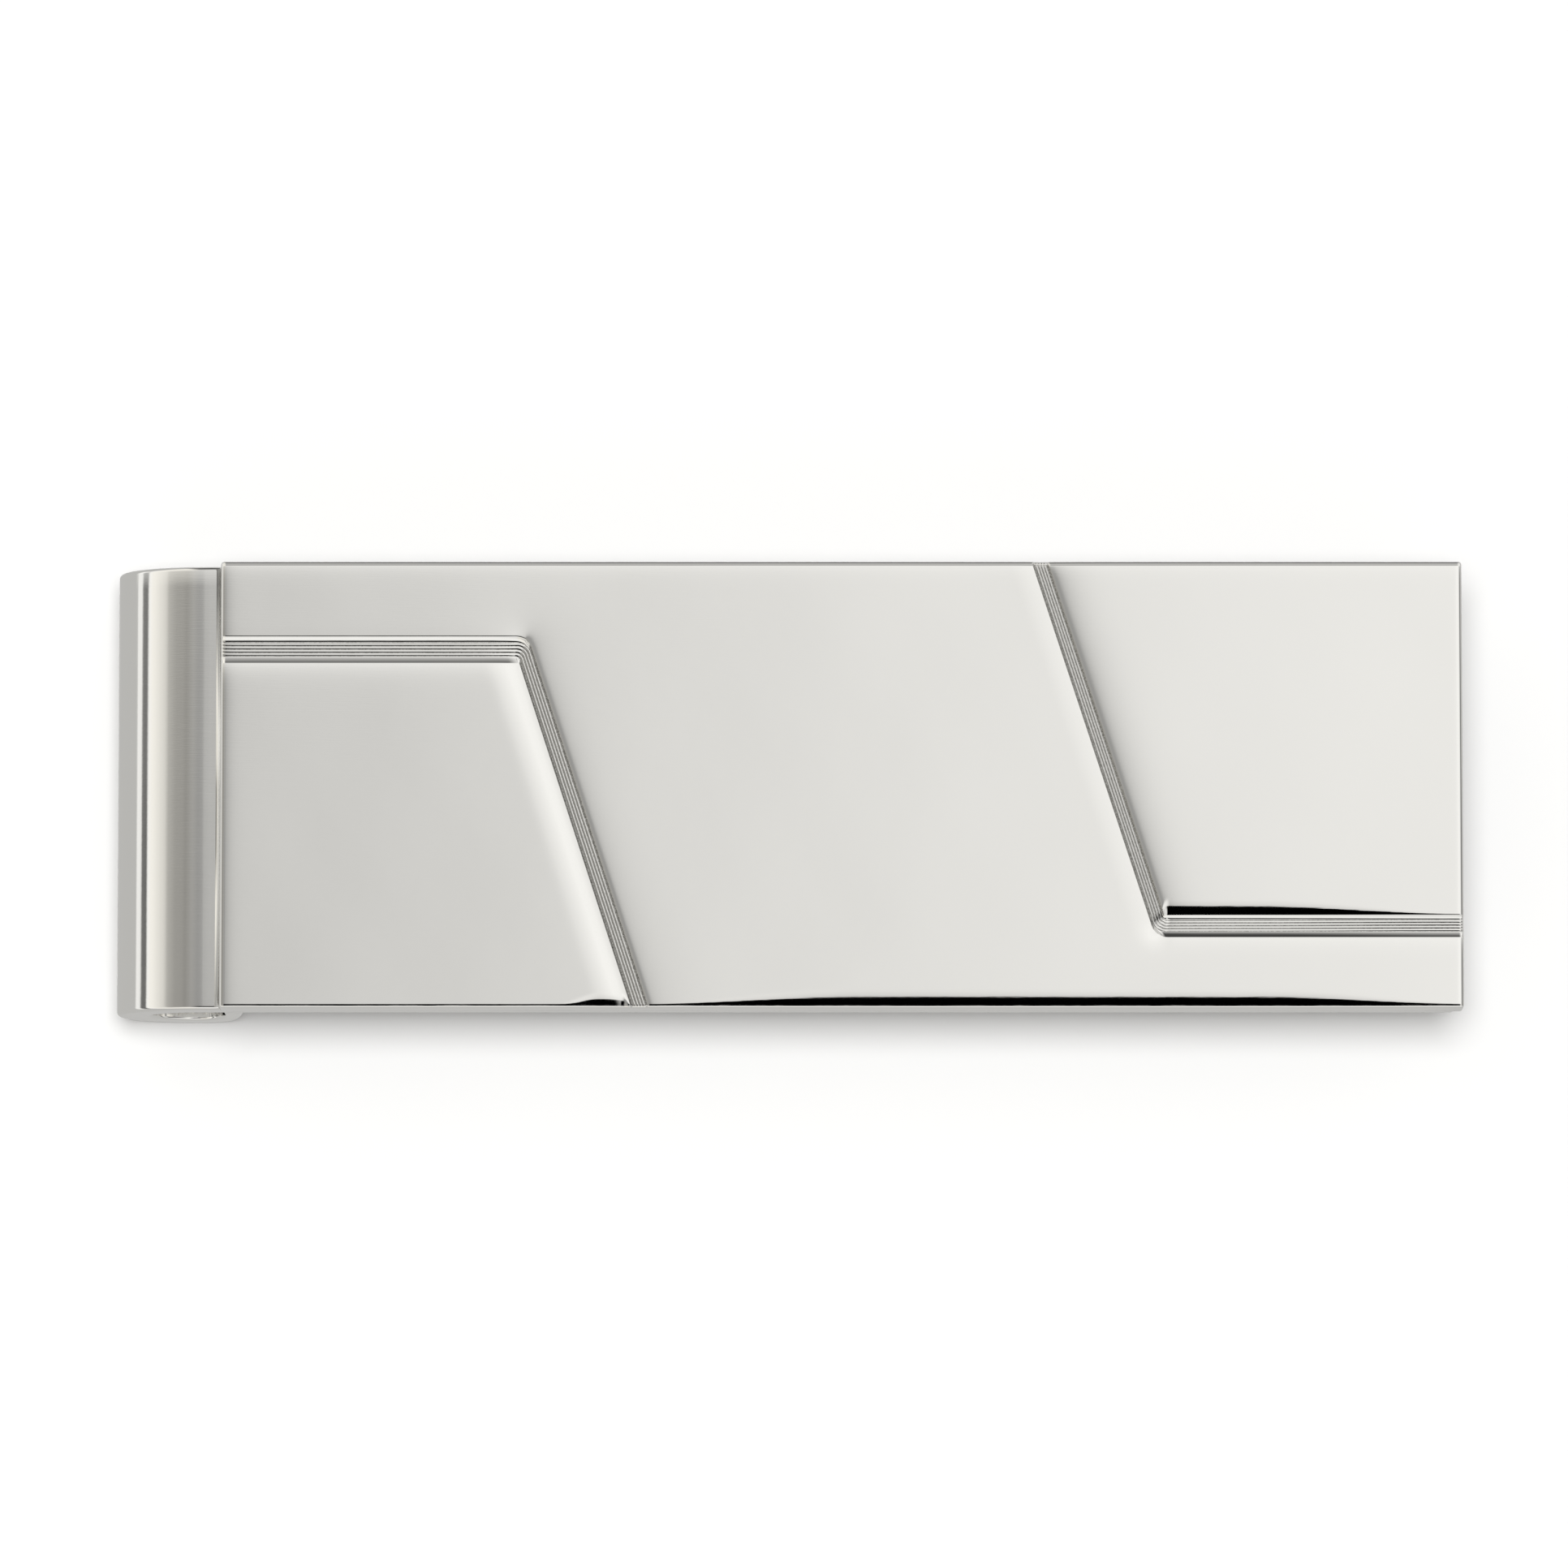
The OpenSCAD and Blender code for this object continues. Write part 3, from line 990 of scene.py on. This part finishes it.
def ramp(tree, stops, low, high, value):
    """Grey levels over value, from low to high, through the stops. Returns the ramp's socket."""
    share = spread(tree, value, low, high, 0.0, 1.0)
    colours = node(tree, "ShaderNodeValToRGB")
    elements = colours.color_ramp.elements
    elements.remove(elements[-1])
    for k, (at, level) in enumerate(stops):
        spot = (at - low) / (high - low)
        element = elements[0] if k == 0 else elements.new(spot)
        element.position = spot
        element.color = (level, level, level, 1)
    tree.links.new(share, colours.inputs["Fac"])
    return colours.outputs["Color"]


def times(tree, a, b):
    """Colour a times colour b, both sockets."""
    both = node(tree, "ShaderNodeMix", data_type="RGBA", blend_type="MULTIPLY")
    both.inputs["Factor"].default_value = 1.0
    tree.links.new(a, both.inputs["A"])
    tree.links.new(b, both.inputs["B"])
    return both.outputs["Result"]


def mixed(tree, share, a, b):
    """Colour a going over to b by share. Each may be a socket or a plain colour."""
    mix = node(tree, "ShaderNodeMix", data_type="RGBA")
    tree.links.new(share, mix.inputs["Factor"])
    for name, colour in (("A", a), ("B", b)):
        if isinstance(colour, tuple):
            mix.inputs[name].default_value = colour
        else:
            tree.links.new(colour, mix.inputs[name])
    return mix.outputs["Result"]


def levels(stops):
    """Stops with their sRGB levels as linear light."""
    return [(at, linear(level / 255)) for at, level in stops]


def studio_colour(tree):
    """The studio's colour in each direction, as the polished metal mirrors it."""
    direction = node(tree, "ShaderNodeTexCoord")
    parts = node(tree, "ShaderNodeSeparateXYZ")
    tree.links.new(direction.outputs["Generated"], parts.inputs["Vector"])
    x, y, z = (parts.outputs[axis] for axis in "XYZ")
    angle = node(tree, "ShaderNodeMath", operation="ARCTAN2")
    tree.links.new(x, angle.inputs[0])
    tree.links.new(z, angle.inputs[1])
    degrees = node(tree, "ShaderNodeMath", operation="DEGREES")
    tree.links.new(angle.outputs[0], degrees.inputs[0])

    across = ramp(tree, levels(ACROSS), -90, 90, degrees.outputs[0])
    whitened = mixed(tree, ramp(tree, WHITER, -1, 1, y), across, WHITE)
    dome = ramp(tree, levels(DOME), 0, 1, z)
    around = mixed(tree, ramp(tree, DOME_SHARE, -1, 1, y), whitened, dome)
    along = ramp(tree, [(at, share / HEADROOM) for at, share in ALONG], -1, 1, y)
    plain = (1 / HEADROOM, 1 / HEADROOM, 1 / HEADROOM, 1)
    along = mixed(tree, ramp(tree, ALONG_WIDTH, -1, 1, x), plain, along)
    warmth = ramp(tree, WARMTH, -90, 90, degrees.outputs[0])
    tint = mixed(tree, warmth, (*STUDIO_TINT, 1), (*WARM_TINT, 1))
    return times(tree, times(tree, around, along), tint)


def studio_world():
    """The studio, and plain pale paper where the camera looks past the table's end."""
    world = bpy.data.worlds.new("studio")
    bpy.context.scene.world = world
    world.use_nodes = True
    tree = world.node_tree
    tree.nodes.clear()
    out = node(tree, "ShaderNodeOutputWorld")
    light = node(tree, "ShaderNodeBackground")
    # The levels are those the metal shows, so the studio itself is a little brighter.
    light.inputs["Strength"].default_value = HEADROOM / METAL_LEVEL
    tree.links.new(studio_colour(tree), light.inputs["Color"])
    pale = node(tree, "ShaderNodeBackground")
    pale.inputs["Color"].default_value = PALE
    path = node(tree, "ShaderNodeLightPath")
    seen = node(tree, "ShaderNodeMixShader")
    tree.links.new(path.outputs["Is Camera Ray"], seen.inputs["Fac"])
    tree.links.new(light.outputs["Background"], seen.inputs[1])
    tree.links.new(pale.outputs["Background"], seen.inputs[2])
    tree.links.new(seen.outputs["Shader"], out.inputs["Surface"])


def ground(name):
    """A level square as large as the table, at the floor's height."""
    size = TABLE_HALF
    corners = [(-size, -size, 0), (size, -size, 0), (size, size, 0), (-size, size, 0)]
    return new_mesh(name, corners, [[0, 1, 2, 3]])


def mirrored_floor():
    """What the metal mirrors of the table: a card of even grey, seen by mirror reflections only."""
    card = ground("mirrored_floor")
    card.location.z = CARD_LIFT
    mat = bpy.data.materials.new("mirrored_grey")
    mat.use_nodes = True
    tree = mat.node_tree
    tree.nodes.clear()
    out = node(tree, "ShaderNodeOutputMaterial")
    glow = node(tree, "ShaderNodeEmission")
    level = linear(FLOOR_MIRRORED / 255) / METAL_LEVEL
    glow.inputs["Color"].default_value = (*[level * t for t in STUDIO_TINT], 1)
    tree.links.new(glow.outputs["Emission"], out.inputs["Surface"])
    card.data.materials.append(mat)
    card.visible_camera = False
    card.visible_diffuse = False
    card.visible_shadow = False
    card.visible_transmission = False


def studio_lamp():
    """A soft overhead lamp for the table. The metal doesn't mirror it."""
    data = bpy.data.lights.new("overhead", "AREA")
    data.shape = "DISK"
    data.size = LAMP_SIZE
    data.energy = LAMP_POWER
    lamp = bpy.data.objects.new("overhead", data)
    lamp.location = (0, 0, LAMP_HEIGHT)
    lamp.visible_glossy = False
    bpy.context.scene.collection.objects.link(lamp)


def table():
    """The plain pale floor."""
    top = ground("table_top")
    top.data.materials.append(paper("table_paper", TABLE_LEVEL))


def camera():
    """The camera, as the photograph looks at the clip: tilted a little towards the near edge."""
    data = bpy.data.cameras.new("camera")
    data.sensor_width = 36
    data.lens = data.sensor_width * VIEW_DISTANCE / FRAME_WIDTH
    data.clip_start = CLIP_START
    cam = bpy.data.objects.new("camera", data)
    aim = Vector((AIM_X, 0, PLATE_TOP))
    cam.location = aim + VIEW_DISTANCE * Vector((0, -math.sin(VIEW_TILT), math.cos(VIEW_TILT)))
    cam.rotation_euler = (VIEW_TILT, 0, 0)
    bpy.context.scene.collection.objects.link(cam)
    bpy.context.scene.camera = cam


# ---------------------------------------------------------------- assembly

camera()
studio_world()
studio_lamp()
table()
mirrored_floor()
bpy.context.scene.view_settings.view_transform = "Standard"

plate_metal = polished_metal(*PLATE_METAL)
strip_metal = polished_metal(*SPRING_METAL)
braze_metal = polished_metal(*BRAZE_METAL)

plate = front_plate()
plate.data.materials.append(plate_metal)
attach(plate, FRONT)
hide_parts("front_plate")

leg = spring_front_leg()
leg.data.materials.append(strip_metal)
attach(leg, FRONT)
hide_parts("spring_front_leg")

lip = spring_back_leg()
lip.data.materials.append(strip_metal)
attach(lip, BACK)
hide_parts("spring_back_leg")

fold = spring_fold()
fold.data.materials.append(strip_metal)
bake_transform(fold)

seam = braze()
seam.data.materials.append(braze_metal)
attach(seam, FRONT)
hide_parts("braze_seam")
